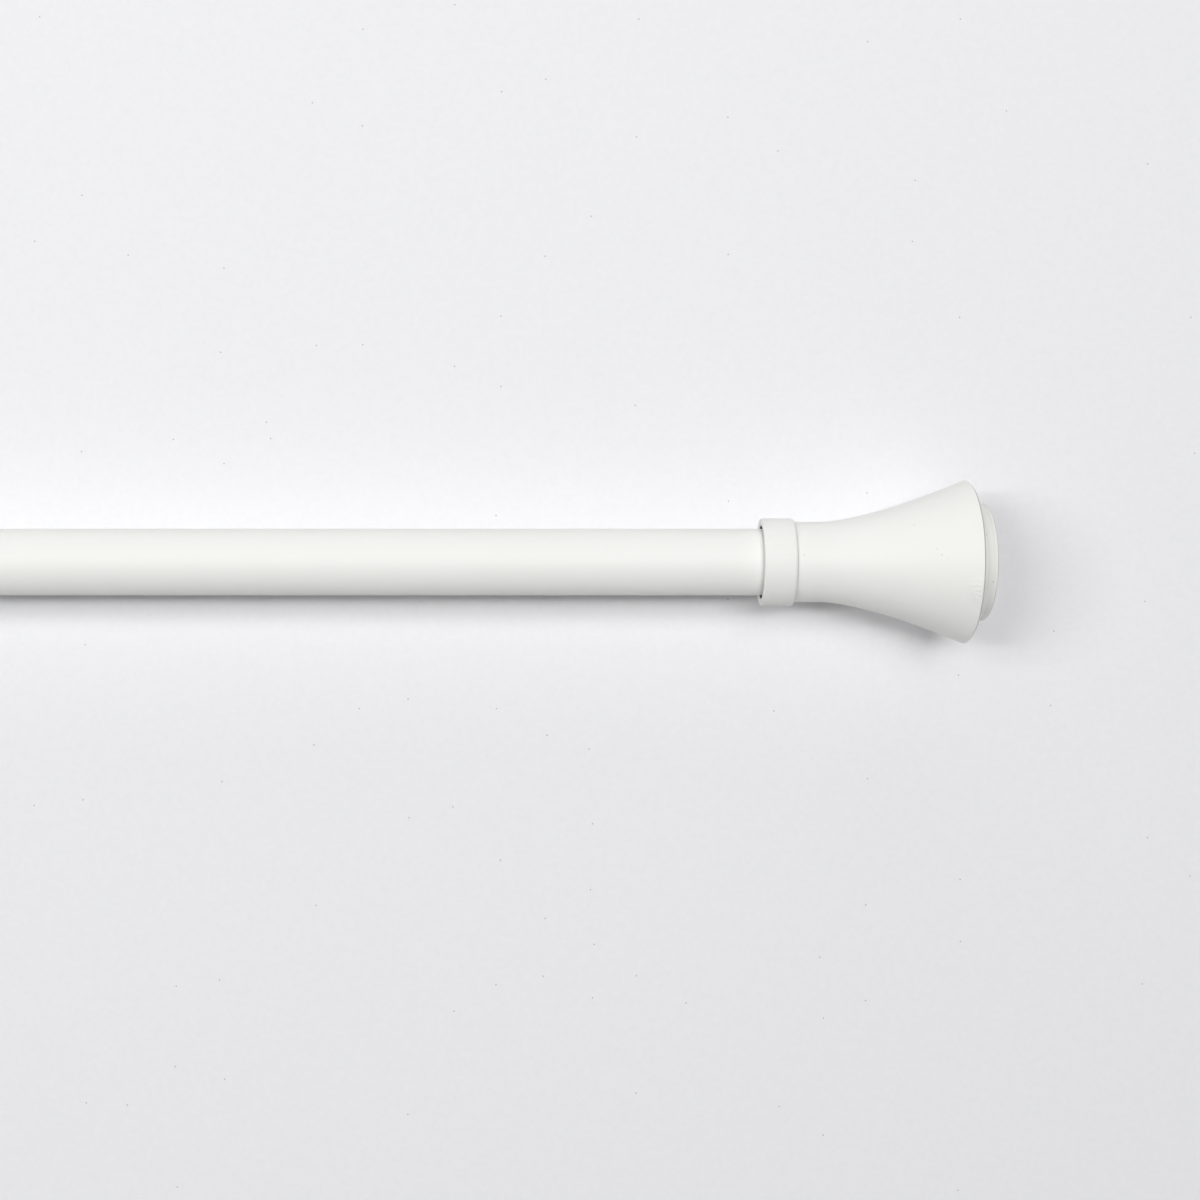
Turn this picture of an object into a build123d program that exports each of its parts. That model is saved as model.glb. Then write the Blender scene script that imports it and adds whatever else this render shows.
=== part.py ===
from build123d import *
import math
import os

# Extendable curtain rod of two telescoping steel tubes, with a flared
# trumpet finial pushed into each end. Sizes are in millimetres.
# X runs along the rod, towards the finial of the outer tube, and Z is up.
# The origin is on the rod's axis, halfway along the outer tube.

# Tubes
OUTER_DIAMETER = 19.0
OUTER_WALL = 0.6
OUTER_LENGTH = 685.0
INNER_DIAMETER = 16.0
INNER_WALL = 0.6
INNER_LENGTH = 650.0
TUBE_EDGE_ROUND = 0.15
REST_OPENING = 100.0  # how far the closed rod is pulled out here
CLOSED_GAP = 0.5  # left between the finial and the bush when closed

# Radial clearances
RUNNING = 0.05  # between what slides or turns
SEATED = 0.03  # round a piece fixed in its seat
LOOSE = 0.2  # round a piece that only passes through

# Guide bush in the mouth of the outer tube
BUSH_LENGTH = 20.0
BUSH_FLANGE = 1.5
BUSH_FLANGE_STEP = 0.2  # the flange is this much under the tube's radius
BUSH_LEAD_IN = 0.5

# Tail plug on the buried end of the inner tube
TAIL_LENGTH = 12.0
TAIL_LAND = 3.0
TAIL_WAIST_DEPTH = 0.6
TAIL_SPIGOT = 14.0
TAIL_BORE = 9.0
TAIL_SLOT = 1.2
TAIL_SLOT_DEPTH = 10.5
TAIL_SLOTS = 4
GROOVE_FROM_END = 8.0
GROOVE_LENGTH = 4.0
GROOVE_DEPTH = 0.6
TURNING_GAP = 0.15  # along the rod, where the inner tube turns on the plug

# Finial, measured along it from the open face of its collar
COLLAR_DIAMETER = 25.0
COLLAR_LENGTH = 9.4
COLLAR_LIP = 2.0
COLLAR_GAP = 1.0  # clear gap round the outer tube
COLLAR_FACE_ROUND = 0.35
COLLAR_BACK_ROUND = 1.0
NECK_DIAMETER = 22.9
NECK_WALL = 1.05
TUBE_DEPTH = 13.0  # how far a tube goes into the finial
FLARE_START = 17.2
FLARE_WALL = 1.3
NECK_HANDLE = 2.5  # how long the flare holds the neck's direction
RIM_HANDLE = 27.4  # how long it holds the rim's direction
CONE_ANGLE = 23.0
RIM_DIAMETER = 46.6
RIM_FACE = 58.5
RIM_CHAMFER = 0.5
RIM_LAND = 2.7  # thickness of the rim, across the opening's edge
WEB = 1.5

# End disc, a stepped cap in the wide end
DISC_DIAMETER = 33.6
DISC_FACE = 63.7
DISC_WALL = 1.4
DISC_ROUND = 0.5
DISC_STEP_ROUND = 0.3
BRIM_THICKNESS = 1.2
BRIM_LAND = 1.0  # width of the ledge that the brim sits on
BRIM_SUNK = 0.3
POST_DIAMETER = 8.0
POST_START = 44.0
POST_HOLE_DEPTH = 12.0

# Push plug
PLUG_SPIGOT = 25.0
PLUG_FLANGE = 3.0
PLUG_BOSS_DIAMETER = 9.0
PLUG_BOSS_PROUD = 1.5
PLUG_FLOOR = 3.5
PLUG_WALL = 1.5
PLUG_LEAD_IN = 2.5
RIB_HEIGHT = 1.4
RIB_WIDTH = 1.4
RIBS = 8

# Tie screw and washer
SCREW_DIAMETER = 3.9
SCREW_LENGTH = 40.0
SCREW_POINT = 0.8
HEAD_DIAMETER = 7.6
HEAD_HEIGHT = 2.6
HEAD_ROUND = 1.6
CROSS_WIDTH = 0.9
CROSS_SPAN = 4.2
CROSS_DEPTH = 1.4
WASHER_DIAMETER = 8.6
WASHER_THICKNESS = 0.8

# Reducer ring between the inner tube and its finial
REDUCER_INSET = 0.6
REDUCER_GAP = 0.1
REDUCER_LEAD_IN = 0.5

outer_radius = OUTER_DIAMETER / 2
outer_bore = outer_radius - OUTER_WALL
inner_radius = INNER_DIAMETER / 2
inner_bore = inner_radius - INNER_WALL
outer_end = OUTER_LENGTH / 2
outer_mouth = -OUTER_LENGTH / 2

neck_radius = NECK_DIAMETER / 2
neck_bore = neck_radius - NECK_WALL
rim_radius = RIM_DIAMETER / 2
rim_bore = rim_radius - RIM_LAND
disc_radius = DISC_DIAMETER / 2
brim_seat_radius = rim_bore + BRIM_LAND
brim_back = RIM_FACE - BRIM_SUNK - BRIM_THICKNESS
web_start = TUBE_DEPTH + PLUG_FLANGE
web_end = web_start + WEB
boss_radius = PLUG_BOSS_DIAMETER / 2
boss_end = web_end + PLUG_BOSS_PROUD
screw_radius = SCREW_DIAMETER / 2
screw_way = screw_radius + LOOSE
plug_floor_start = web_start - PLUG_FLOOR

outer_finial_face = outer_end - TUBE_DEPTH
inner_finial_face = outer_mouth - BUSH_FLANGE - CLOSED_GAP - REST_OPENING
inner_tube_start = inner_finial_face - TUBE_DEPTH
inner_tube_end = inner_tube_start + INNER_LENGTH


def turned(outline):
    """Turn a closed half section, drawn as (along, radius), about the rod's axis."""
    return revolve(make_face(outline), Axis.X)


def turned_points(points, rounds=None):
    """Turn a closed half section given by its corners, each with its own round."""
    if rounds is None:
        return turned(Polyline(*points, close=True))
    return turned(FilletPolyline(*points, radius=rounds, close=True))


def ring(start, end, outside, inside=0.0):
    """A plain ring, or a disc where it has no hole."""
    return turned_points([(start, inside), (start, outside), (end, outside), (end, inside)])


def tube_blank(start, end, outside, wall):
    """A tube whose cut ends are deburred."""
    section = RectangleRounded(end - start, wall, TUBE_EDGE_ROUND)
    return revolve(Pos((start + end) / 2, outside - wall / 2) * section, Axis.X)


def outer_tube():
    return tube_blank(outer_mouth, outer_end, outer_radius, OUTER_WALL)


def groove_section(radius):
    """The dip that the rolled groove makes in a line at this radius."""
    middle = inner_tube_end - GROOVE_FROM_END
    start = (middle - GROOVE_LENGTH / 2, radius)
    end = (middle + GROOVE_LENGTH / 2, radius)
    dip = ThreePointArc(start, (middle, radius - GROOVE_DEPTH), end)
    return dip + Line(end, start)


def inner_tube():
    """Plain tube with a groove rolled near its buried end, which holds the tail plug."""
    tube = tube_blank(inner_tube_start, inner_tube_end, inner_radius, INNER_WALL)
    bead = turned(groove_section(inner_bore))
    return tube + bead - turned(groove_section(inner_radius))


def guide_bush():
    """Flanged sleeve in the outer tube's mouth, which the inner tube slides through."""
    bore = inner_radius + RUNNING
    sleeve_radius = outer_bore - SEATED
    flange_radius = outer_radius - BUSH_FLANGE_STEP
    face = outer_mouth - BUSH_FLANGE
    inner_end = outer_mouth + BUSH_LENGTH
    lead_in = min(BUSH_LEAD_IN, (sleeve_radius - bore) * 0.7)
    return turned_points(
        [
            (face, bore + lead_in),
            (face, flange_radius),
            (outer_mouth, flange_radius),
            (outer_mouth, sleeve_radius),
            (inner_end, sleeve_radius),
            (inner_end, bore + lead_in),
            (inner_end - lead_in, bore),
            (face + lead_in, bore),
        ],
        [0, 0.3, 0, 0, 0, 0, 0, 0],
    )


def tail_plug():
    """Glide that runs in the outer tube and snaps into the inner tube's groove."""
    shoulder = inner_tube_end + TURNING_GAP
    glide_end = shoulder + TAIL_LENGTH
    tip = inner_tube_end - TAIL_SPIGOT
    land_radius = outer_bore - RUNNING
    spigot_radius = inner_bore - RUNNING
    waist_radius = land_radius - TAIL_WAIST_DEPTH
    glide = ring(shoulder, glide_end, land_radius, TAIL_BORE / 2)
    waist = ring(shoulder + TAIL_LAND, glide_end - TAIL_LAND, land_radius + 1, waist_radius)
    spigot = ring(tip, shoulder, spigot_radius, TAIL_BORE / 2)
    middle = inner_tube_end - GROOVE_FROM_END
    groove_radius = inner_bore - GROOVE_DEPTH - TURNING_GAP
    half_groove = GROOVE_LENGTH / 2 + TURNING_GAP
    groove = ring(middle - half_groove, middle + half_groove, spigot_radius + 1, groove_radius)
    slot_middle = tip + TAIL_SLOT_DEPTH / 2
    slot = Pos(slot_middle, 0, 0) * Box(TAIL_SLOT_DEPTH, 2 * land_radius, TAIL_SLOT)
    plug = glide - waist + spigot - groove
    for number in range(TAIL_SLOTS // 2):
        plug -= Rot(number * 360 / TAIL_SLOTS, 0, 0) * slot
    return plug


def collar():
    """Ring over the end of the neck, with a lip that stands clear of the tube."""
    bore = outer_radius + COLLAR_GAP
    outside = COLLAR_DIAMETER / 2
    seat = neck_radius + SEATED
    back_round = min(COLLAR_BACK_ROUND, (outside - seat) * 0.95)
    return turned_points(
        [
            (0, bore),
            (0, outside),
            (COLLAR_LENGTH, outside),
            (COLLAR_LENGTH, seat),
            (COLLAR_LIP, seat),
            (COLLAR_LIP, bore),
        ],
        [COLLAR_FACE_ROUND, COLLAR_FACE_ROUND, back_round, 0, 0, 0],
    )


def flare_edge(inwards):
    """The trumpet's side from neck to rim, as one curve moved in by a wall."""
    lean = math.radians(CONE_ANGLE)
    along_cone = Vector(math.cos(lean), math.sin(lean))
    into_wall = Vector(math.sin(lean), -math.cos(lean))
    start = Vector(FLARE_START, neck_radius - inwards)
    end = Vector(RIM_FACE - RIM_CHAMFER, rim_radius) + into_wall * inwards
    return Bezier(start, start + Vector(NECK_HANDLE, 0), end - along_cone * RIM_HANDLE, end)


def trumpet():
    """Flared shell: neck and socket at one end, thick rim with a ledge at the other."""
    side = flare_edge(0)
    face_edge = (RIM_FACE, rim_radius - RIM_CHAMFER)
    body = turned(
        Polyline((COLLAR_LIP, 0), (COLLAR_LIP, neck_radius), side @ 0)
        + side
        + Polyline(side @ 1, face_edge, (RIM_FACE, 0), (COLLAR_LIP, 0))
    )
    inside = flare_edge(FLARE_WALL)
    hollow = turned(
        Polyline((COLLAR_LIP, 0), (COLLAR_LIP, neck_radius - FLARE_WALL), inside @ 0)
        + inside
        + Polyline(inside @ 1, (RIM_FACE, (inside @ 1).Y), (RIM_FACE, 0), (COLLAR_LIP, 0))
    )
    body -= hollow & ring(web_end, RIM_FACE, rim_bore)
    body -= ring(COLLAR_LIP, web_start, neck_bore)
    body -= ring(web_start, web_end, boss_radius + LOOSE)
    return body - ring(brim_back, RIM_FACE, brim_seat_radius)


def end_disc():
    """Stepped cap: a brim on the rim's ledge, a raised disc and a threaded post."""
    brim_radius = brim_seat_radius - LOOSE / 2
    brim_face = brim_back + BRIM_THICKNESS
    hollow_radius = disc_radius - DISC_WALL
    floor = DISC_FACE - DISC_WALL
    cap = turned_points(
        [
            (brim_back, hollow_radius),
            (brim_back, brim_radius),
            (brim_face, brim_radius),
            (brim_face, disc_radius),
            (DISC_FACE, disc_radius),
            (DISC_FACE, 0),
            (floor, 0),
            (floor, hollow_radius),
        ],
        [0, 0, DISC_STEP_ROUND, DISC_STEP_ROUND, DISC_ROUND, 0, 0, 0],
    )
    post = ring(POST_START, floor, POST_DIAMETER / 2)
    hole = ring(POST_START, POST_START + POST_HOLE_DEPTH, screw_radius + RUNNING)
    return cap + post - hole


def push_plug(tube_bore):
    """Moulded plug: ribs that grip the tube's bore, a stop flange and a boss."""
    rib_radius = tube_bore - RUNNING
    core_radius = rib_radius - RIB_HEIGHT
    tip = TUBE_DEPTH - PLUG_SPIGOT
    core = ring(tip, TUBE_DEPTH, core_radius)
    flange = ring(TUBE_DEPTH, web_start, neck_bore - LOOSE)
    boss = ring(web_start, boss_end, boss_radius)
    rib_space = turned_points(
        [
            (tip, 0),
            (tip, core_radius),
            (tip + PLUG_LEAD_IN, rib_radius),
            (TUBE_DEPTH, rib_radius),
            (TUBE_DEPTH, 0),
        ]
    )
    plug = core + flange + boss
    rib = Pos((tip + TUBE_DEPTH) / 2, 0, rib_radius / 2) * Box(PLUG_SPIGOT, RIB_WIDTH, rib_radius)
    for number in range(RIBS):
        plug += Rot(number * 360 / RIBS, 0, 0) * rib & rib_space
    plug -= ring(tip, plug_floor_start, core_radius - PLUG_WALL)
    return plug - ring(plug_floor_start, boss_end, screw_way)


def washer():
    face = plug_floor_start - WASHER_THICKNESS
    return ring(face, plug_floor_start, WASHER_DIAMETER / 2, screw_way)


def tie_screw():
    """Pan head screw that draws the plug and the end disc together on the trumpet."""
    under_head = plug_floor_start - WASHER_THICKNESS
    top = under_head - HEAD_HEIGHT
    point = under_head + SCREW_LENGTH
    head_radius = HEAD_DIAMETER / 2
    head = turned_points(
        [(top, 0), (top, head_radius), (under_head, head_radius), (under_head, 0)],
        [0, HEAD_ROUND, 0, 0],
    )
    shank = turned_points(
        [
            (under_head, 0),
            (under_head, screw_radius),
            (point - SCREW_POINT, screw_radius),
            (point, screw_radius - SCREW_POINT),
            (point, 0),
        ]
    )
    cross_middle = top + CROSS_DEPTH / 2
    cross = Pos(cross_middle, 0, 0) * Box(CROSS_DEPTH, CROSS_SPAN, CROSS_WIDTH)
    return head + shank - cross - Rot(90, 0, 0) * cross


def reducer():
    """Ring that fills the socket round the thinner tube."""
    bore = inner_radius + REDUCER_GAP
    outside = neck_bore - SEATED
    return turned_points(
        [
            (REDUCER_INSET, bore + REDUCER_LEAD_IN),
            (REDUCER_INSET, outside),
            (TUBE_DEPTH, outside),
            (TUBE_DEPTH, bore),
            (REDUCER_INSET + REDUCER_LEAD_IN, bore),
        ],
        [0, 0.3, 0, 0, 0],
    )


def finial(name, tube_bore):
    """Every piece of one finial, drawn from its collar's face towards +X."""
    return {
        f"{name}_collar": collar(),
        f"{name}_trumpet": trumpet(),
        f"{name}_end_disc": end_disc(),
        f"{name}_push_plug": push_plug(tube_bore),
        f"{name}_washer": washer(),
        f"{name}_tie_screw": tie_screw(),
    }


outer_finial_place = Pos(outer_finial_face, 0, 0)
inner_finial_place = Pos(inner_finial_face, 0, 0) * Rot(0, 0, 180)

pieces = {
    "outer_tube": outer_tube(),
    "guide_bush": guide_bush(),
    "inner_tube": inner_tube(),
    "tail_plug": tail_plug(),
    "inner_reducer": inner_finial_place * reducer(),
}
for node, piece in finial("outer", outer_bore).items():
    pieces[node] = outer_finial_place * piece
for node, piece in finial("inner", inner_bore).items():
    pieces[node] = inner_finial_place * piece

os.makedirs("parts", exist_ok=True)
for node, piece in pieces.items():
    export_step(piece, f"parts/{node}.step")
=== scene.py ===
import math

import bmesh
import bpy
from mathutils import Matrix, Vector
from mathutils.geometry import interpolate_bezier


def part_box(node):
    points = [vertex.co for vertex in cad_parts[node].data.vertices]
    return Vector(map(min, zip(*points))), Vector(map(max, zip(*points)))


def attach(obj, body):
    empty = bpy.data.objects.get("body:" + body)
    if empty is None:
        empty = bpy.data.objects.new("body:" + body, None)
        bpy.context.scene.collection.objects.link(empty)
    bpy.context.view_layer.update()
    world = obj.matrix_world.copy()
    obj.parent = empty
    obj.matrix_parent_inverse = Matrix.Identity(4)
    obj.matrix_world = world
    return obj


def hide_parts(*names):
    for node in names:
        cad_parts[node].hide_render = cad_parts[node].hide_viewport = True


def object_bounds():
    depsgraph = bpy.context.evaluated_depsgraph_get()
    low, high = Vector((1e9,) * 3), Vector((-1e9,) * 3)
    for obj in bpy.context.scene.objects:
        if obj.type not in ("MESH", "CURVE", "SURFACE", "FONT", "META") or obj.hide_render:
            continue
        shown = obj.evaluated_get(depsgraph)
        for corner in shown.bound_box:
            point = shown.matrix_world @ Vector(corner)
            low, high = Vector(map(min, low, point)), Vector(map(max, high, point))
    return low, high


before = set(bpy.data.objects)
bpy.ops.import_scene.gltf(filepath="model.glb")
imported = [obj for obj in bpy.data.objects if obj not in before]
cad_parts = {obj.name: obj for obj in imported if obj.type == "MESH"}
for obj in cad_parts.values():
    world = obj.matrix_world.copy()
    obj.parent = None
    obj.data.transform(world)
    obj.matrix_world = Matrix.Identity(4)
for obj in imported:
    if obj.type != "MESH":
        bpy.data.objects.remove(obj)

cad_low, cad_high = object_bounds()
MM = 0.001


# Outer tube: seam-welded steel tube, 19 mm across with a 0.6 mm wall, cut square and
# deburred. It is sprayed with white polyester powder and baked, which leaves a matt
# skin with a faint orange peel and, here and there, a nib of dust under the paint.
TUBE_DIAMETER = 19.0 * MM
TUBE_WALL = 0.6 * MM
TUBE_EDGE = 0.15 * MM
# How a section is turned: steps round the rod, segments of a rounded corner, and how close
# a loop lies to each end of a long run.
STEPS_ROUND = 192
ROUND_SEGMENTS = 5
HELD_FLAT = 0.25 * MM
LONG_RUN = 1.0 * MM
MERGED = 0.001 * MM

COAT_WHITE = "F2F2EF"
COAT_CLOUD = "EEEEEA"
CLOUD_SIZE = 45 * MM
NIB_GREY = "CFCEC8"
NIB_SPACING = 6 * MM
NIB_RADIUS = 0.28 * MM
NIB_SHARE = 0.16
PEEL_SIZE = 1.6 * MM
PEEL_DEPTH = 0.006 * MM
TOOTH_SIZE = 0.3 * MM
TOOTH_DEPTH = 0.0015 * MM
COAT_ROUGHNESS = 0.58
COAT_ROUGHNESS_SPREAD = 0.06
COAT_IOR = 1.5

# Dark specks left by handling: the place of each in millimetres, and how far it reaches.
HANDLING_MARKS = (
    (370.6, 9.9, 13.7, 0.35),
    (375.7, 3.1, 18.4, 0.3),
    (376.9, 1.4, 19.1, 0.4),
    (378.2, 0.6, 19.6, 0.25),
    (340.4, 1.7, 11.3, 0.4),
    (391.8, -5.9, 15.7, 0.45),
)
MARK_SHARE = 0.6
# A speck is at its darkest out to this share of its reach, and then fades.
SPECK_CORE = 0.3
# The knock on the outer rim: its place, how far its pits reach, and where they are deepest.
KNOCK_PLACE = (387.4 * MM, -8.6 * MM, 21.3 * MM)
KNOCK_REACH = 4.5 * MM
KNOCK_CORE = 2.25 * MM
PIT_SIZE = 0.8 * MM
PIT_DEPTH = 0.35 * MM


def linear(hex_colour):
    """A colour written as sRGB hex, as the linear RGBA that a shader takes."""
    channels = [int(hex_colour[i : i + 2], 16) / 255 for i in (0, 2, 4)]
    return [c / 12.92 if c < 0.04045 else ((c + 0.055) / 1.055) ** 2.4 for c in channels] + [1]


def add_node(tree, kind, inputs=None, **settings):
    """Add a node: an input given as a socket is linked, and any other is a value."""
    new = tree.nodes.new(kind)
    for setting, value in settings.items():
        setattr(new, setting, value)
    for socket, value in (inputs or {}).items():
        if isinstance(value, bpy.types.NodeSocket):
            tree.links.new(value, new.inputs[socket])
        else:
            new.inputs[socket].default_value = value
    return new


def new_material(name):
    """An empty material: its tree, and the place of each point on the piece."""
    material = bpy.data.materials.new(name)
    material.use_nodes = True
    tree = material.node_tree
    tree.nodes.clear()
    return material, tree, add_node(tree, "ShaderNodeTexCoord").outputs["Object"]


def scattered_specks(tree, place, spacing, radius, share, dimensions):
    """1 in round specks: this share of the cells at this spacing holds one, at its middle."""
    cells = add_node(
        tree,
        "ShaderNodeTexVoronoi",
        {"Vector": place, "Scale": 1 / spacing},
        voronoi_dimensions=dimensions,
    )
    near = add_node(
        tree,
        "ShaderNodeMapRange",
        {
            "Value": cells.outputs["Distance"],
            "From Min": radius / spacing,
            "From Max": SPECK_CORE * radius / spacing,
        },
        interpolation_type="SMOOTHSTEP",
    )
    draw = add_node(tree, "ShaderNodeSeparateColor", {"Color": cells.outputs["Color"]})
    chosen = add_node(
        tree, "ShaderNodeMath", {0: draw.outputs["Red"], 1: share}, operation="LESS_THAN"
    )
    speck = add_node(
        tree, "ShaderNodeMath", {0: near.outputs[0], 1: chosen.outputs[0]}, operation="MULTIPLY"
    )
    return speck.outputs[0]


def powder_coat():
    """White polyester powder coat: reads as matt porcelain with a faint, uneven skin."""
    material, tree, place = new_material("white_polyester_powder_coat")
    # The layer's thickness drifts, so the white does too, by a shade that is only just seen.
    # Nibs are dust under the paint.
    clouds = add_node(
        tree, "ShaderNodeTexNoise", {"Vector": place, "Scale": 1 / CLOUD_SIZE, "Detail": 2.0}
    )
    white = add_node(
        tree,
        "ShaderNodeMix",
        {"Factor": clouds.outputs["Fac"], 6: linear(COAT_WHITE), 7: linear(COAT_CLOUD)},
        data_type="RGBA",
    )
    specks = scattered_specks(tree, place, NIB_SPACING, NIB_RADIUS, NIB_SHARE, "3D")
    for *middle, reach in HANDLING_MARKS:
        away = add_node(
            tree,
            "ShaderNodeVectorMath",
            {0: place, 1: [distance * MM for distance in middle]},
            operation="DISTANCE",
        )
        mark = add_node(
            tree,
            "ShaderNodeMapRange",
            {
                "Value": away.outputs["Value"],
                "From Min": reach * MM,
                "From Max": SPECK_CORE * reach * MM,
                "To Max": MARK_SHARE,
            },
            interpolation_type="SMOOTHSTEP",
        )
        both = add_node(
            tree, "ShaderNodeMath", {0: specks, 1: mark.outputs[0]}, operation="MAXIMUM"
        )
        specks = both.outputs[0]
    colour = add_node(
        tree,
        "ShaderNodeMix",
        {"Factor": specks, 6: white.outputs[2], 7: linear(NIB_GREY)},
        data_type="RGBA",
    )
    # Orange peel is the slow ripple of powder that has flowed; tooth is its fine grain.
    peel = add_node(
        tree, "ShaderNodeTexNoise", {"Vector": place, "Scale": 1 / PEEL_SIZE, "Detail": 1.0}
    )
    tooth = add_node(
        tree, "ShaderNodeTexNoise", {"Vector": place, "Scale": 1 / TOOTH_SIZE, "Detail": 2.0}
    )
    ripple = add_node(
        tree, "ShaderNodeBump", {"Height": peel.outputs["Fac"], "Distance": PEEL_DEPTH}
    )
    grain = add_node(
        tree,
        "ShaderNodeBump",
        {"Height": tooth.outputs["Fac"], "Distance": TOOTH_DEPTH, "Normal": ripple.outputs[0]},
    )
    # The rim has been knocked in one place, where the coat is pitted.
    from_knock = add_node(
        tree, "ShaderNodeVectorMath", {0: place, 1: KNOCK_PLACE}, operation="DISTANCE"
    )
    knocked = add_node(
        tree,
        "ShaderNodeMapRange",
        {
            "Value": from_knock.outputs["Value"],
            "From Min": KNOCK_REACH,
            "From Max": KNOCK_CORE,
        },
    )
    pits = add_node(
        tree, "ShaderNodeTexNoise", {"Vector": place, "Scale": 1 / PIT_SIZE, "Detail": 1.0}
    )
    pit_height = add_node(
        tree,
        "ShaderNodeMath",
        {0: knocked.outputs[0], 1: pits.outputs["Fac"]},
        operation="MULTIPLY",
    )
    pitted = add_node(
        tree,
        "ShaderNodeBump",
        {"Height": pit_height.outputs[0], "Distance": PIT_DEPTH, "Normal": grain.outputs[0]},
    )
    sheen = add_node(
        tree,
        "ShaderNodeMapRange",
        {
            "Value": peel.outputs["Fac"],
            "To Min": COAT_ROUGHNESS - COAT_ROUGHNESS_SPREAD,
            "To Max": COAT_ROUGHNESS + COAT_ROUGHNESS_SPREAD,
        },
    )
    skin = add_node(
        tree,
        "ShaderNodeBsdfPrincipled",
        {
            "Base Color": colour.outputs[2],
            "Roughness": sheen.outputs[0],
            "IOR": COAT_IOR,
            "Normal": pitted.outputs[0],
        },
    )
    add_node(tree, "ShaderNodeOutputMaterial", {"Surface": skin.outputs[0]})
    return material


def turned_mesh(outline):
    """Spin a half section about the rod's axis. Each corner is (along, radius, round).

    The section is closed, or left open where it starts and ends on the axis.
    """
    mesh = bmesh.new()
    corners = [mesh.verts.new((along, 0, radius)) for along, radius, _ in outline]
    ends_on_axis = outline[0][1] == 0 and outline[-1][1] == 0
    following = corners[1:] if ends_on_axis else corners[1:] + corners[:1]
    for corner, after in zip(corners, following):
        mesh.edges.new((corner, after))
    for corner, (_, _, rounding) in zip(corners, outline):
        if rounding:
            bmesh.ops.bevel(
                mesh,
                geom=[corner],
                offset=rounding * math.tan(corner.calc_edge_angle() / 2),
                segments=ROUND_SEGMENTS,
                profile=0.5,
                affect="VERTICES",
                material=-1,
            )
    # A loop close to each end of a long run keeps that run's shading straight.
    for run in [edge for edge in mesh.edges if edge.calc_length() > LONG_RUN]:
        for end in run.verts[:]:
            bmesh.utils.edge_split(run, end, HELD_FLAT / run.calc_length())
    bmesh.ops.spin(
        mesh,
        geom=mesh.verts[:] + mesh.edges[:],
        cent=(0, 0, 0),
        axis=(1, 0, 0),
        angle=2 * math.pi,
        steps=STEPS_ROUND,
        use_merge=True,
    )
    bmesh.ops.remove_doubles(mesh, verts=mesh.verts, dist=MERGED)
    bmesh.ops.recalc_face_normals(mesh, faces=mesh.faces)
    return mesh


def finish_piece(mesh, name, finishes, body, node):
    """Make the mesh a piece that rides on a body and stands for a node of the frame."""
    data = bpy.data.meshes.new(name)
    mesh.to_mesh(data)
    mesh.free()
    data.shade_smooth()
    for finish in finishes:
        data.materials.append(finish)
    piece = bpy.data.objects.new(name, data)
    bpy.context.collection.objects.link(piece)
    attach(piece, body)
    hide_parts(node)


white_coat = powder_coat()
outer_low, outer_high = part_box("outer_tube")
tube_radius = TUBE_DIAMETER / 2
tube_bore = tube_radius - TUBE_WALL
tube_start, tube_end = outer_low[0], outer_high[0]
outer_tube = turned_mesh(
    [
        (tube_start, tube_bore, TUBE_EDGE),
        (tube_start, tube_radius, TUBE_EDGE),
        (tube_end, tube_radius, TUBE_EDGE),
        (tube_end, tube_bore, TUBE_EDGE),
    ]
)
finish_piece(
    outer_tube, "outer_tube_steel", [white_coat], "outer_rod", "outer_tube"
)


# Guide bush: a flanged sleeve of white acetal in the mouth of the outer tube. It is
# pressed in until its flange meets the tube's end, and the inner tube slides in it.
BUSH_FLANGE_RADIUS = 9.3 * MM
BUSH_FLANGE_ROUND = 0.3 * MM
BUSH_SLEEVE_RADIUS = 8.87 * MM
BUSH_BORE = 8.05 * MM
BUSH_LEAD_IN = 0.5 * MM
MOULD_EDGE = 0.08 * MM

PLASTIC_WHITE = "ECEBE6"
PLASTIC_SHADE = "E6E5DF"
FLOW_SIZE = 12 * MM
SPARK_SIZE = 0.18 * MM
SPARK_DEPTH = 0.002 * MM
PLASTIC_ROUGHNESS = 0.42
PLASTIC_IOR = 1.48
PLASTIC_GLOW = 0.15
PLASTIC_GLOW_REACH = 0.6 * MM


def moulded_acetal():
    """White acetal from a spark-eroded mould: a waxy, slightly see-through matt."""
    material, tree, place = new_material("moulded_white_acetal")
    flow = add_node(
        tree, "ShaderNodeTexNoise", {"Vector": place, "Scale": 1 / FLOW_SIZE, "Detail": 3.0}
    )
    colour = add_node(
        tree,
        "ShaderNodeMix",
        {"Factor": flow.outputs["Fac"], 6: linear(PLASTIC_WHITE), 7: linear(PLASTIC_SHADE)},
        data_type="RGBA",
    )
    spark = add_node(
        tree, "ShaderNodeTexNoise", {"Vector": place, "Scale": 1 / SPARK_SIZE, "Detail": 1.0}
    )
    texture = add_node(
        tree, "ShaderNodeBump", {"Height": spark.outputs["Fac"], "Distance": SPARK_DEPTH}
    )
    skin = add_node(
        tree,
        "ShaderNodeBsdfPrincipled",
        {
            "Base Color": colour.outputs[2],
            "Roughness": PLASTIC_ROUGHNESS,
            "IOR": PLASTIC_IOR,
            "Subsurface Weight": PLASTIC_GLOW,
            "Subsurface Scale": PLASTIC_GLOW_REACH,
            "Normal": texture.outputs[0],
        },
    )
    add_node(tree, "ShaderNodeOutputMaterial", {"Surface": skin.outputs[0]})
    return material


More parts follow.
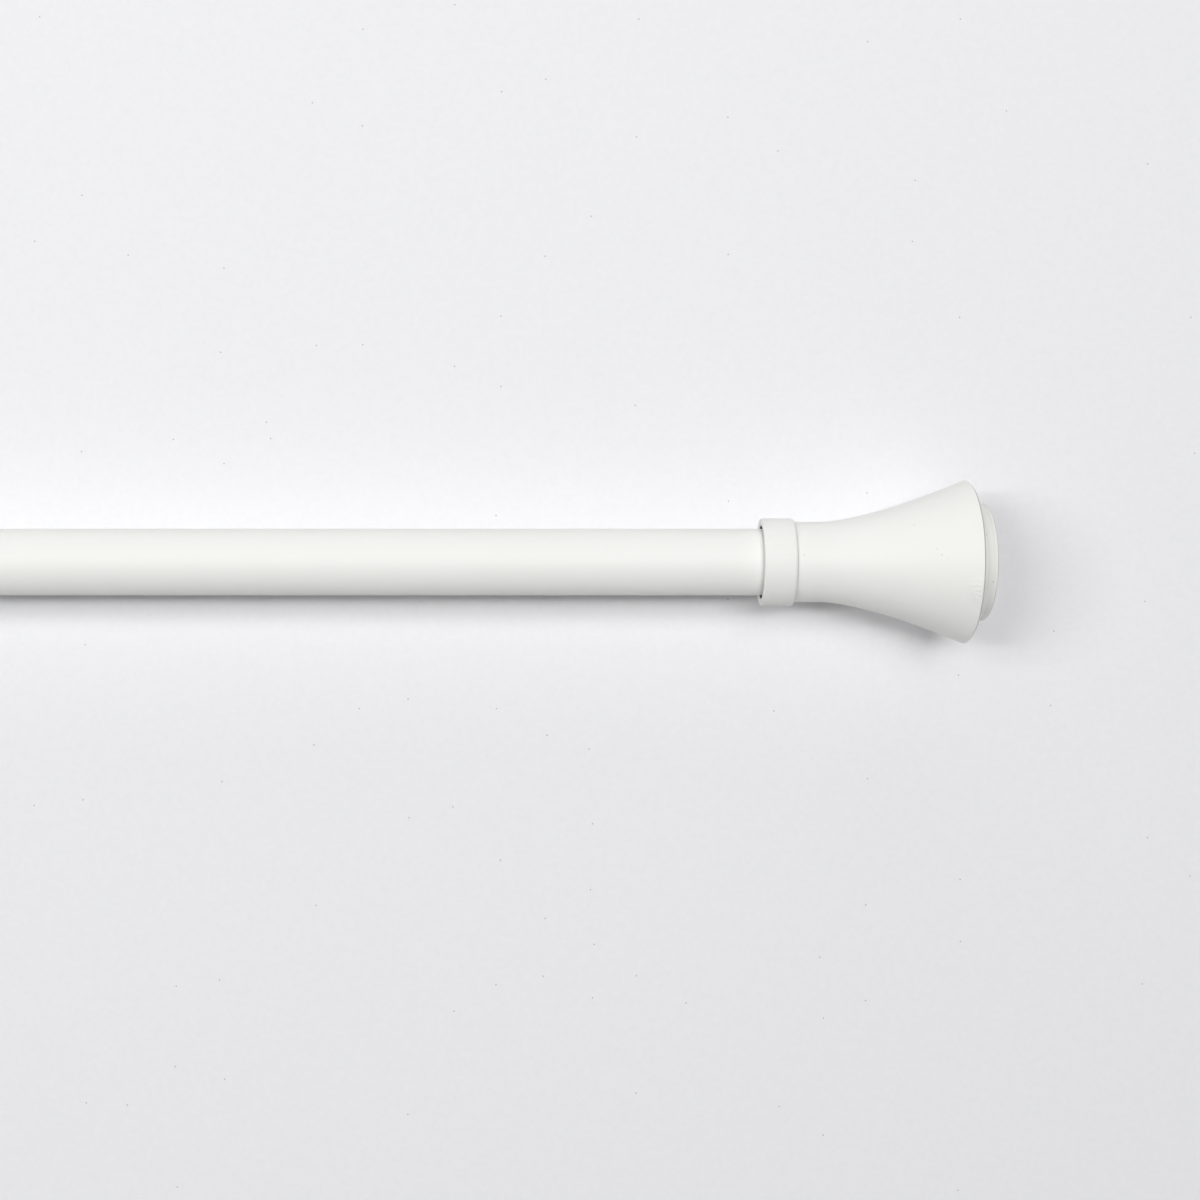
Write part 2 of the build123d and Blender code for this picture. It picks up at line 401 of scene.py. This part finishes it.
white_acetal = moulded_acetal()
bush_low, bush_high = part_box("guide_bush")
bush_face, bush_end = bush_low[0], bush_high[0]
guide_bush = turned_mesh(
    [
        (bush_face, BUSH_BORE + BUSH_LEAD_IN, MOULD_EDGE),
        (bush_face, BUSH_FLANGE_RADIUS, BUSH_FLANGE_ROUND),
        (tube_start, BUSH_FLANGE_RADIUS, MOULD_EDGE),
        (tube_start, BUSH_SLEEVE_RADIUS, 0),
        (bush_end, BUSH_SLEEVE_RADIUS, MOULD_EDGE),
        (bush_end, BUSH_BORE + BUSH_LEAD_IN, MOULD_EDGE),
        (bush_end - BUSH_LEAD_IN, BUSH_BORE, MOULD_EDGE),
        (bush_face + BUSH_LEAD_IN, BUSH_BORE, MOULD_EDGE),
    ]
)
finish_piece(
    guide_bush, "guide_bush_moulding", [white_acetal], "outer_rod", "guide_bush"
)


# Tail plug: a slotted acetal glide that snaps into a groove of the inner tube and runs
# in the outer one. It never shows, so it keeps its solid and takes the bush's finish.


def coat_solid(node, finish):
    """Give a solid that stays in the scene another finish."""
    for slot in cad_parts[node].material_slots:
        slot.material = finish


coat_solid("tail_plug", white_acetal)


# Inner tube: the same steel tube in 16 mm, with the same coat. A shallow groove is
# rolled into it near its buried end, and the tail plug snaps into that groove.
INNER_DIAMETER = 16.0 * MM
GROOVE_FROM_END = 8.0 * MM
GROOVE_LENGTH = 4.0 * MM
GROOVE_DEPTH = 0.6 * MM
GROOVE_STEPS = 12

inner_low, inner_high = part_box("inner_tube")
inner_start, inner_end = inner_low[0], inner_high[0]
inner_radius = INNER_DIAMETER / 2


def rolled_groove(radius):
    """The groove's arc in a line at this radius, from its near side to its far side."""
    middle = inner_end - GROOVE_FROM_END
    half = GROOVE_LENGTH / 2
    arc_radius = (half**2 + GROOVE_DEPTH**2) / (2 * GROOVE_DEPTH)
    half_angle = math.asin(half / arc_radius)
    points = []
    for step in range(GROOVE_STEPS + 1):
        angle = half_angle * (2 * step / GROOVE_STEPS - 1)
        drop = arc_radius * math.cos(angle) - (arc_radius - GROOVE_DEPTH)
        points.append((middle + arc_radius * math.sin(angle), radius - drop, 0))
    return points


inner_tube = turned_mesh(
    [
        (inner_start, inner_radius - TUBE_WALL, TUBE_EDGE),
        (inner_start, inner_radius, TUBE_EDGE),
        *rolled_groove(inner_radius),
        (inner_end, inner_radius, TUBE_EDGE),
        (inner_end, inner_radius - TUBE_WALL, TUBE_EDGE),
        *reversed(rolled_groove(inner_radius - TUBE_WALL)),
    ]
)
finish_piece(
    inner_tube, "inner_tube_steel", [white_coat], "inner_rod", "inner_tube"
)


# Collars: rings of cast zinc, turned true and pressed over the end of each neck. Their lip
# stands clear of the tube all round. The coat is thicker and has a grainy orange peel.
COLLAR_DIAMETER = 25.0 * MM
COLLAR_LENGTH = 9.4 * MM
COLLAR_LIP = 2.0 * MM
COLLAR_BORE = 10.5 * MM
COLLAR_SEAT = 11.48 * MM
COLLAR_FACE_ROUND = 0.35 * MM
COLLAR_BACK_ROUND = 0.97 * MM
SMALL_EDGE = 0.1 * MM

GRAIN_WHITE = "F2F2EF"
GRAIN_SHADE = "EDEDE9"
GRAIN_SIZE = 0.55 * MM
GRAIN_DEPTH = 0.015 * MM
FINE_LAYERS = 0.6
PATCH_SIZE = 2.2 * MM
GRAIN_ROUGHNESS = 0.62

# Near-black, blotched finish inside the collars' lips and the trumpets' sockets: painted shade of the
# gap round the tube.
GAP_SHADE_DARK = "1C1B19"
GAP_SHADE_LIGHT = "302E2B"
GAP_SHADE_BLOTCH_SIZE = 0.4 * MM
GAP_SHADE_ROUGHNESS = 0.8
GAP_SHADE_IOR = 1.6

# A greyer band on the collar's back crease, the rim's chamfer and the disc's face edge: painted shade
# where these turn from the light.
EDGE_SHADE_LIGHT = "D4D4CC"
EDGE_SHADE_DARK = "C2C2BA"
EDGE_SHADE_SIZE = 1.2 * MM
CREASE_DEPTH = 0.15 * MM


def grainy_coat():
    """Thick powder coat with a leathery orange peel: fine dimples, and no clear shine."""
    material, tree, place = new_material("grainy_powder_coat")
    dimples = add_node(
        tree,
        "ShaderNodeTexNoise",
        {"Vector": place, "Scale": 1 / GRAIN_SIZE, "Detail": 2.0, "Roughness": FINE_LAYERS},
    )
    patches = add_node(
        tree, "ShaderNodeTexNoise", {"Vector": place, "Scale": 1 / PATCH_SIZE, "Detail": 2.0}
    )
    colour = add_node(
        tree,
        "ShaderNodeMix",
        {"Factor": patches.outputs["Fac"], 6: linear(GRAIN_SHADE), 7: linear(GRAIN_WHITE)},
        data_type="RGBA",
    )
    leather = add_node(
        tree, "ShaderNodeBump", {"Height": dimples.outputs["Fac"], "Distance": GRAIN_DEPTH}
    )
    skin = add_node(
        tree,
        "ShaderNodeBsdfPrincipled",
        {
            "Base Color": colour.outputs[2],
            "Roughness": GRAIN_ROUGHNESS,
            "IOR": COAT_IOR,
            "Normal": leather.outputs[0],
        },
    )
    add_node(tree, "ShaderNodeOutputMaterial", {"Surface": skin.outputs[0]})
    return material


def painted_gap_shade():
    """Near-black with faint blotches, for the inside of the gap round the tube: painted shade."""
    material, tree, place = new_material("painted_gap_shade")
    shade_blotches = add_node(
        tree, "ShaderNodeTexNoise", {"Vector": place, "Scale": 1 / GAP_SHADE_BLOTCH_SIZE, "Detail": 2.0}
    )
    colour = add_node(
        tree,
        "ShaderNodeMix",
        {"Factor": shade_blotches.outputs["Fac"], 6: linear(GAP_SHADE_DARK), 7: linear(GAP_SHADE_LIGHT)},
        data_type="RGBA",
    )
    skin = add_node(
        tree,
        "ShaderNodeBsdfPrincipled",
        {
            "Base Color": colour.outputs[2],
            "Roughness": GAP_SHADE_ROUGHNESS,
            "IOR": GAP_SHADE_IOR,
        },
    )
    add_node(tree, "ShaderNodeOutputMaterial", {"Surface": skin.outputs[0]})
    return material


def painted_edge_shade_coat():
    """Greyer coat in blotches on an edge or a crease: painted shade where the surface turns from the
    light.
    """
    material, tree, place = new_material("painted_edge_shade_coat")
    patches = add_node(
        tree, "ShaderNodeTexNoise", {"Vector": place, "Scale": 1 / EDGE_SHADE_SIZE, "Detail": 2.0}
    )
    colour = add_node(
        tree,
        "ShaderNodeMix",
        {"Factor": patches.outputs["Fac"], 6: linear(EDGE_SHADE_DARK), 7: linear(EDGE_SHADE_LIGHT)},
        data_type="RGBA",
    )
    skin = add_node(
        tree,
        "ShaderNodeBsdfPrincipled",
        {"Base Color": colour.outputs[2], "Roughness": COAT_ROUGHNESS, "IOR": COAT_IOR},
    )
    add_node(tree, "ShaderNodeOutputMaterial", {"Surface": skin.outputs[0]})
    return material


def refinish(mesh, along, radii, finish):
    """Give the faces between two places along the rod, and two radii, another finish."""
    for face in mesh.faces:
        middle = face.calc_center_median()
        radius = math.hypot(middle.y, middle.z)
        if along[0] < middle.x < along[1] and radii[0] < radius < radii[1]:
            face.material_index = finish


def set_on_rod(mesh, end):
    """Move a finial's piece from its own start to its end of the rod, facing outwards."""
    if end == "inner":
        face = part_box("inner_collar")[1][0]
        half_turn = Matrix.Rotation(math.pi, 3, "Z")
        bmesh.ops.rotate(mesh, verts=mesh.verts, cent=(0, 0, 0), matrix=half_turn)
    else:
        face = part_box("outer_collar")[0][0]
    bmesh.ops.translate(mesh, verts=mesh.verts, vec=(face, 0, 0))


grainy_white = grainy_coat()
gap_shade_finish = painted_gap_shade()
edge_shade_coat = painted_edge_shade_coat()
# A piece's own finish is the first in its mesh, and these two come after it.
EDGE_SHADE = 1
GAP_SHADE = 2
for end in ("outer", "inner"):
    collar = turned_mesh(
        [
            (0, COLLAR_BORE, COLLAR_FACE_ROUND),
            (0, COLLAR_DIAMETER / 2, COLLAR_FACE_ROUND),
            (COLLAR_LENGTH, COLLAR_DIAMETER / 2, COLLAR_BACK_ROUND),
            (COLLAR_LENGTH, COLLAR_SEAT, 0),
            (COLLAR_LIP, COLLAR_SEAT, 0),
            (COLLAR_LIP, COLLAR_BORE, SMALL_EDGE),
        ]
    )
    # Inside the collar is near-black: painted shade of the gap round the tube.
    inside_it = (COLLAR_FACE_ROUND, COLLAR_LENGTH - COLLAR_BACK_ROUND)
    refinish(collar, inside_it, (0, COLLAR_SEAT + SMALL_EDGE), GAP_SHADE)
    # The back edge where the collar meets the neck is greyer: painted shade in the crease.
    back_crease = (COLLAR_LENGTH - CREASE_DEPTH, COLLAR_LENGTH + MERGED)
    refinish(collar, back_crease, (COLLAR_SEAT, COLLAR_DIAMETER / 2), EDGE_SHADE)
    set_on_rod(collar, end)
    finish_piece(
        collar,
        f"{end}_collar_ring",
        [grainy_white, edge_shade_coat, gap_shade_finish],
        f"{end}_finial",
        f"{end}_collar",
    )


# Trumpets: spun and turned steel shells, straight at the neck and flared to a thick rim
# with a ledge inside it. They have the tubes' coat; the rim's chamfer is greyer, painted shade.
NECK_RADIUS = 11.45 * MM
NECK_BORE = 10.4 * MM
SOCKET_DEPTH = 16.0 * MM
WEB_END = 17.5 * MM
WEB_HOLE_RADIUS = 4.7 * MM
FLARE_START = 17.2 * MM
FLARE_WALL = 1.3 * MM
NECK_HANDLE = 2.5 * MM
RIM_HANDLE = 27.4 * MM
CONE_ANGLE = math.radians(23)
RIM_RADIUS = 23.3 * MM
RIM_FACE = 58.5 * MM
RIM_CHAMFER = 0.5 * MM
RIM_EDGE = 0.05 * MM
RIM_BORE = 20.6 * MM
LEDGE_RADIUS = 21.6 * MM
LEDGE_FACE = 57.0 * MM
FLARE_POINTS = 49


def flare_line(inwards):
    """Points of the trumpet's side from neck to rim, moved in by a wall."""
    sine, cosine = math.sin(CONE_ANGLE), math.cos(CONE_ANGLE)
    start = Vector((FLARE_START, NECK_RADIUS - inwards))
    end = Vector((RIM_FACE - RIM_CHAMFER, RIM_RADIUS)) + Vector((sine, -cosine)) * inwards
    neck_side = start + Vector((NECK_HANDLE, 0))
    rim_side = end - Vector((cosine, sine)) * RIM_HANDLE
    return interpolate_bezier(start, neck_side, rim_side, end, FLARE_POINTS)


outside = [(point.x, point.y, 0) for point in flare_line(0)]
inside = [
    (point.x, point.y, 0)
    for point in flare_line(FLARE_WALL)
    if point.x > WEB_END and point.y < RIM_BORE
]
for end in ("outer", "inner"):
    trumpet = turned_mesh(
        [
            (COLLAR_LIP, NECK_BORE, SMALL_EDGE),
            (COLLAR_LIP, NECK_RADIUS, SMALL_EDGE),
            *outside[:-1],
            (RIM_FACE - RIM_CHAMFER, RIM_RADIUS, RIM_EDGE),
            (RIM_FACE, RIM_RADIUS - RIM_CHAMFER, RIM_EDGE),
            (RIM_FACE, LEDGE_RADIUS, SMALL_EDGE),
            (LEDGE_FACE, LEDGE_RADIUS, 0),
            (LEDGE_FACE, RIM_BORE, SMALL_EDGE),
            (inside[-1][0], RIM_BORE, 0),
            *reversed(inside[:-1]),
            (WEB_END, inside[0][1], 0),
            (WEB_END, WEB_HOLE_RADIUS, SMALL_EDGE),
            (SOCKET_DEPTH, WEB_HOLE_RADIUS, SMALL_EDGE),
            (SOCKET_DEPTH, NECK_BORE, 0),
        ]
    )
    # The socket inside the neck is near-black: painted shade.
    socket = (0, SOCKET_DEPTH + SMALL_EDGE / 2)
    refinish(trumpet, socket, (0, (NECK_BORE + NECK_RADIUS) / 2 + SMALL_EDGE), GAP_SHADE)
    # The rim's chamfer is greyer: painted shade on an edge turned from the light.
    chamfer = (RIM_FACE - RIM_CHAMFER, RIM_FACE)
    refinish(trumpet, chamfer, (RIM_RADIUS - RIM_CHAMFER, RIM_RADIUS), EDGE_SHADE)
    set_on_rod(trumpet, end)
    finish_piece(
        trumpet,
        f"{end}_trumpet_shell",
        [white_coat, edge_shade_coat, gap_shade_finish],
        f"{end}_finial",
        f"{end}_trumpet",
    )


# End discs: stepped caps turned from steel, with a post behind. The brim sits on the
# rim's ledge. Lathe lines show through the thinner coat round the raised disc's side.
DISC_RADIUS = 16.8 * MM
DISC_FACE = 63.7 * MM
DISC_WALL = 1.4 * MM
DISC_ROUND = 0.5 * MM
EDGE_SHADE_FROM_FACE = 0.2 * MM
STEP_ROUND = 0.3 * MM
BRIM_RADIUS = 21.5 * MM
BRIM_THICKNESS = 1.2 * MM
POST_RADIUS = 4.0 * MM
POST_START = 44.0 * MM
POST_HOLE_RADIUS = 2.0 * MM
POST_HOLE_END = 56.0 * MM

LINE_SPACING = 0.7 * MM
LINES_ROUND = 0.3
LINE_GREY = "C9C9C1"
LINE_SHARE = 0.5
LINES_FROM = 0.5
LINES_FULL = 0.75
LINE_DEPTH = 0.02 * MM


def coat_over_turning():
    """The same coat lying thin over lathe lines: soft streaks that run round the piece.

    The real lines are about 0.1 mm apart, and are drawn coarser so that they show.
    """
    material = white_coat.copy()
    material.name = "white_coat_over_turned_steel"
    tree = material.node_tree
    skin = next(node for node in tree.nodes if node.type == "BSDF_PRINCIPLED")
    place = next(node for node in tree.nodes if node.type == "TEX_COORD").outputs["Object"]
    axes = add_node(tree, "ShaderNodeSeparateXYZ", {0: place})
    across = add_node(
        tree, "ShaderNodeCombineXYZ", {"Y": axes.outputs["Y"], "Z": axes.outputs["Z"]}
    )
    radius = add_node(tree, "ShaderNodeVectorMath", {0: across.outputs[0]}, operation="LENGTH")
    round_it = add_node(
        tree, "ShaderNodeVectorMath", {0: across.outputs[0]}, operation="NORMALIZE"
    )
    slowly = add_node(
        tree,
        "ShaderNodeVectorMath",
        {0: round_it.outputs[0], "Scale": LINES_ROUND},
        operation="SCALE",
    )
    # Along the side the lines follow each other in x, and over the face in the radius.
    on_section = add_node(
        tree,
        "ShaderNodeMath",
        {0: axes.outputs["X"], 1: radius.outputs["Value"]},
        operation="SUBTRACT",
    )
    line_count = add_node(
        tree,
        "ShaderNodeMath",
        {0: on_section.outputs[0], 1: LINE_SPACING},
        operation="DIVIDE",
    )
    along = add_node(tree, "ShaderNodeCombineXYZ", {"X": line_count.outputs[0]})
    streak_place = add_node(
        tree, "ShaderNodeVectorMath", {0: along.outputs[0], 1: slowly.outputs[0]}, operation="ADD"
    )
    streaks = add_node(
        tree,
        "ShaderNodeTexNoise",
        {
            "Vector": streak_place.outputs[0],
            "Scale": 1.0,
            "Detail": 2.0,
            "Roughness": FINE_LAYERS,
        },
    )
    dark_lines = add_node(
        tree,
        "ShaderNodeMapRange",
        {
            "Value": streaks.outputs["Fac"],
            "From Min": LINES_FROM,
            "From Max": LINES_FULL,
            "To Max": LINE_SHARE,
        },
    )
    coat_colour = skin.inputs["Base Color"].links[0].from_socket
    colour = add_node(
        tree,
        "ShaderNodeMix",
        {"Factor": dark_lines.outputs[0], 6: coat_colour, 7: linear(LINE_GREY)},
        data_type="RGBA",
    )
    lines = add_node(
        tree,
        "ShaderNodeBump",
        {
            "Height": streaks.outputs["Fac"],
            "Distance": LINE_DEPTH,
            "Normal": skin.inputs["Normal"].links[0].from_socket,
        },
    )
    tree.links.new(colour.outputs[2], skin.inputs["Base Color"])
    tree.links.new(lines.outputs[0], skin.inputs["Normal"])
    return material


turned_white = coat_over_turning()
for end in ("outer", "inner"):
    disc = turned_mesh(
        [
            (POST_HOLE_END, 0, 0),
            (POST_HOLE_END, POST_HOLE_RADIUS, 0),
            (POST_START, POST_HOLE_RADIUS, SMALL_EDGE),
            (POST_START, POST_RADIUS, SMALL_EDGE),
            (DISC_FACE - DISC_WALL, POST_RADIUS, 0),
            (DISC_FACE - DISC_WALL, DISC_RADIUS - DISC_WALL, 0),
            (LEDGE_FACE, DISC_RADIUS - DISC_WALL, SMALL_EDGE),
            (LEDGE_FACE, BRIM_RADIUS, SMALL_EDGE),
            (LEDGE_FACE + BRIM_THICKNESS, BRIM_RADIUS, STEP_ROUND),
            (LEDGE_FACE + BRIM_THICKNESS, DISC_RADIUS, STEP_ROUND),
            (DISC_FACE, DISC_RADIUS, DISC_ROUND),
            (DISC_FACE, 0, 0),
        ]
    )
    # The rounded edge of the disc's face is greyer: painted shade where it turns from the light.
    face_edge = (DISC_FACE - EDGE_SHADE_FROM_FACE, DISC_FACE + MERGED)
    refinish(disc, face_edge, (DISC_RADIUS - DISC_ROUND, DISC_RADIUS), EDGE_SHADE)
    set_on_rod(disc, end)
    finish_piece(
        disc,
        f"{end}_end_disc_cap",
        [turned_white, edge_shade_coat],
        f"{end}_finial",
        f"{end}_end_disc",
    )


# Reducer: a moulded acetal ring that fills the inner finial's socket round the thinner
# tube, so that one trumpet serves both tubes. It is held by the push plug's flange.
REDUCER_INSET = 0.6 * MM
REDUCER_BORE = 8.1 * MM
REDUCER_RADIUS = 10.37 * MM
REDUCER_END = 13.0 * MM
REDUCER_LEAD_IN = 0.5 * MM
REDUCER_ROUND = 0.3 * MM

reducer = turned_mesh(
    [
        (REDUCER_INSET, REDUCER_BORE + REDUCER_LEAD_IN, MOULD_EDGE),
        (REDUCER_INSET, REDUCER_RADIUS, REDUCER_ROUND),
        (REDUCER_END, REDUCER_RADIUS, MOULD_EDGE),
        (REDUCER_END, REDUCER_BORE, MOULD_EDGE),
        (REDUCER_INSET + REDUCER_LEAD_IN, REDUCER_BORE, MOULD_EDGE),
    ]
)
set_on_rod(reducer, "inner")
finish_piece(
    reducer,
    "inner_reducer_moulding",
    [white_acetal],
    "inner_finial",
    "inner_reducer",
)


# Push plugs: ribbed acetal plugs that grip the bore of each tube. They are moulded in
# one piece with their flange and boss, and keep their solids with the bush's finish.
for end in ("outer", "inner"):
    coat_solid(f"{end}_push_plug", white_acetal)


# Washers and tie screws: zinc-plated steel. Each screw draws its plug and end disc
# together through the trumpet's web. The plating is bluish, with a soft crystal bloom.
ZINC_LIGHT = "C9CBCE"
ZINC_DARK = "B4B7BB"
BLOOM_SIZE = 1.2 * MM
ZINC_ROUGHNESS = 0.3
ZINC_ROUGHNESS_SPREAD = 0.08


def zinc_plate():
    """Bright zinc plate over steel: cool grey metal with a cloudy, uneven gloss."""
    material, tree, place = new_material("bright_zinc_plate")
    bloom = add_node(
        tree, "ShaderNodeTexNoise", {"Vector": place, "Scale": 1 / BLOOM_SIZE, "Detail": 4.0}
    )
    colour = add_node(
        tree,
        "ShaderNodeMix",
        {"Factor": bloom.outputs["Fac"], 6: linear(ZINC_LIGHT), 7: linear(ZINC_DARK)},
        data_type="RGBA",
    )
    gloss = add_node(
        tree,
        "ShaderNodeMapRange",
        {
            "Value": bloom.outputs["Fac"],
            "To Min": ZINC_ROUGHNESS - ZINC_ROUGHNESS_SPREAD,
            "To Max": ZINC_ROUGHNESS + ZINC_ROUGHNESS_SPREAD,
        },
    )
    metal = add_node(
        tree,
        "ShaderNodeBsdfPrincipled",
        {"Base Color": colour.outputs[2], "Metallic": 1.0, "Roughness": gloss.outputs[0]},
    )
    add_node(tree, "ShaderNodeOutputMaterial", {"Surface": metal.outputs[0]})
    return material


bright_zinc = zinc_plate()
for end in ("outer", "inner"):
    coat_solid(f"{end}_washer", bright_zinc)
    coat_solid(f"{end}_tie_screw", bright_zinc)


# Paper: the rod lies on a sheet of cool white card, on the rims of its two finials. The
# card has a faint mottle of fibres and a few specks of dust. Far from the rod it runs into
# an even white backdrop, which the eye sees and no lamp or piece is lit by.
PAPER_HALF_WIDTH = 8000 * MM
PAPER_WHITE = "F3F3F5"
PAPER_MOTTLE = "EDEDEF"
DUST_GREY = "B8B8B8"
DUST_SPACING = 14 * MM
DUST_RADIUS = 0.32 * MM
DUST_SHARE = 0.14
FIBRE_SIZE = 1.5 * MM
FIBRE_DEPTH = 0.01 * MM
BACKDROP_WHITE = "F0F0F2"
# The card turns to backdrop over this stretch from a middle, and less soon along the rod.
FADE_MIDDLE = (-260 * MM, 150 * MM, 0)
FADE_SHAPE = (0.6, 1.0, 0.0)
FADE_START = 500 * MM
FADE_END = 1100 * MM


def seen_by_eye(tree):
    """1 for what is seen straight, in a reflection or through glass, and 0 for light."""
    ray = add_node(tree, "ShaderNodeLightPath")
    seen = add_node(
        tree,
        "ShaderNodeMath",
        {0: ray.outputs["Is Camera Ray"], 1: ray.outputs["Is Glossy Ray"]},
        operation="MAXIMUM",
    )
    seen_or_through = add_node(
        tree,
        "ShaderNodeMath",
        {0: seen.outputs[0], 1: ray.outputs["Is Transmission Ray"]},
        operation="MAXIMUM",
    )
    return seen_or_through.outputs[0]


def cool_white_card():
    """Uncoated white card: a flat, slightly bluish white with short fibres and some dust."""
    material, tree, place = new_material("cool_white_card")
    fibres = add_node(
        tree, "ShaderNodeTexNoise", {"Vector": place, "Scale": 1 / FIBRE_SIZE, "Detail": 3.0}
    )
    mottle = add_node(
        tree,
        "ShaderNodeMix",
        {"Factor": fibres.outputs["Fac"], 6: linear(PAPER_WHITE), 7: linear(PAPER_MOTTLE)},
        data_type="RGBA",
    )
    dust = scattered_specks(tree, place, DUST_SPACING, DUST_RADIUS, DUST_SHARE, "2D")
    dusty = add_node(
        tree,
        "ShaderNodeMix",
        {"Factor": dust, 6: mottle.outputs[2], 7: linear(DUST_GREY)},
        data_type="RGBA",
    )
    felt = add_node(tree, "ShaderNodeBump", {"Height": fibres.outputs["Fac"], "Distance": FIBRE_DEPTH})
    card = add_node(
        tree,
        "ShaderNodeBsdfDiffuse",
        {"Color": dusty.outputs[2], "Normal": felt.outputs[0]},
    )
    from_middle = add_node(
        tree, "ShaderNodeVectorMath", {0: place, 1: FADE_MIDDLE}, operation="SUBTRACT"
    )
    along_rod = add_node(
        tree, "ShaderNodeVectorMath", {0: from_middle.outputs[0], 1: FADE_SHAPE}, operation="MULTIPLY"
    )
    reach = add_node(tree, "ShaderNodeVectorMath", {0: along_rod.outputs[0]}, operation="LENGTH")
    far = add_node(
        tree,
        "ShaderNodeMapRange",
        {"Value": reach.outputs["Value"], "From Min": FADE_START, "From Max": FADE_END},
        interpolation_type="SMOOTHSTEP",
    )
    far_and_seen = add_node(
        tree, "ShaderNodeMath", {0: far.outputs[0], 1: seen_by_eye(tree)}, operation="MULTIPLY"
    )
    backdrop = add_node(tree, "ShaderNodeEmission", {"Color": linear(BACKDROP_WHITE)})
    ground = add_node(
        tree,
        "ShaderNodeMixShader",
        {0: far_and_seen.outputs[0], 1: card.outputs[0], 2: backdrop.outputs[0]},
    )
    add_node(tree, "ShaderNodeOutputMaterial", {"Surface": ground.outputs[0]})
    return material


sheet = bmesh.new()
bmesh.ops.create_grid(sheet, x_segments=1, y_segments=1, size=PAPER_HALF_WIDTH)
bmesh.ops.translate(sheet, verts=sheet.verts, vec=(0, 0, cad_low[2]))
paper_data = bpy.data.meshes.new("paper")
sheet.to_mesh(paper_data)
sheet.free()
paper_data.materials.append(cool_white_card())
paper = bpy.data.objects.new("paper", paper_data)
bpy.context.collection.objects.link(paper)


# Light: softboxes hang over the rod and behind it, facing down, some of them far to its
# left. Two weak ones stand low behind and in front, and an even fill comes from all round.
# The shadow falls on the side towards -Y and past the end, and fades over a rod's width.
FILL = 0.11
HEIGHT_OVER_PAPER = 1600 * MM
# Where the boxes of each side start and end along the rod.
LEFT = (-1525 * MM, -294 * MM)
RIGHT = (100 * MM, 954 * MM)
# Each box: its name, its side, where it starts and ends across the rod, and its watts.
BOXES = (
    ("left_near_softbox", LEFT, 30 * MM, 150 * MM, 9.9),
    ("left_wide_softbox", LEFT, 300 * MM, 550 * MM, 7.7),
    ("left_far_softbox", LEFT, 900 * MM, 1700 * MM, 1.2),
    ("right_near_softbox", RIGHT, 50 * MM, 250 * MM, 7.5),
    ("right_wide_softbox", RIGHT, 200 * MM, 700 * MM, 7.4),
)
# Each low box: its name, how far it stands from the rod, and its watts.
LOW_BOXES = (
    ("back_softbox", 1270 * MM, 2.2),
    ("front_softbox", -1270 * MM, 1.0),
)
LOW_AIM = Vector((300 * MM, 0, 0))
LOW_HEIGHT = 410 * MM
LOW_WIDTH = 1200 * MM
LOW_DEPTH = 600 * MM


def softbox(name, place, aim, width, depth, power):
    """A rectangular lamp at a place, facing the point that it is aimed at."""
    lamp = bpy.data.lights.new(name, "AREA")
    lamp.shape = "RECTANGLE"
    lamp.size = width
    lamp.size_y = depth
    lamp.energy = power
    stand = bpy.data.objects.new(name, lamp)
    stand.location = place
    stand.rotation_euler = (aim - place).to_track_quat("-Z", "Y").to_euler()
    bpy.context.collection.objects.link(stand)


for name, (start, end), near, far, power in BOXES:
    place = Vector(((start + end) / 2, (near + far) / 2, cad_low[2] + HEIGHT_OVER_PAPER))
    below = place - Vector((0, 0, 1))
    softbox(name, place, below, end - start, far - near, power)
for name, away, power in LOW_BOXES:
    place = LOW_AIM + Vector((0, away, LOW_HEIGHT))
    softbox(name, place, LOW_AIM, LOW_WIDTH, LOW_DEPTH, power)

studio = bpy.data.worlds.new("studio")
studio.use_nodes = True
tree = studio.node_tree
tree.nodes.clear()
strength = add_node(
    tree, "ShaderNodeMapRange", {"Value": seen_by_eye(tree), "To Min": FILL, "To Max": 1.0}
)
air = add_node(
    tree,
    "ShaderNodeBackground",
    {"Color": linear(BACKDROP_WHITE), "Strength": strength.outputs[0]},
)
add_node(tree, "ShaderNodeOutputWorld", {"Surface": air.outputs[0]})
bpy.context.scene.world = studio
bpy.context.scene.view_settings.view_transform = "Standard"


# Camera: it looks straight down on the outer finial from about 0.4 m, with the lens that
# gives the photograph's frame. The lens and the sensor are in millimetres, as Blender has them.
CAMERA_PLACE = (283.6 * MM, -10.88 * MM, 398.6 * MM)
LENS = 41.73
SENSOR = 36.0

view = bpy.data.cameras.new("camera")
view.sensor_width, view.lens = SENSOR, LENS
camera = bpy.data.objects.new("camera", view)
camera.location = CAMERA_PLACE
bpy.context.collection.objects.link(camera)
bpy.context.scene.camera = camera
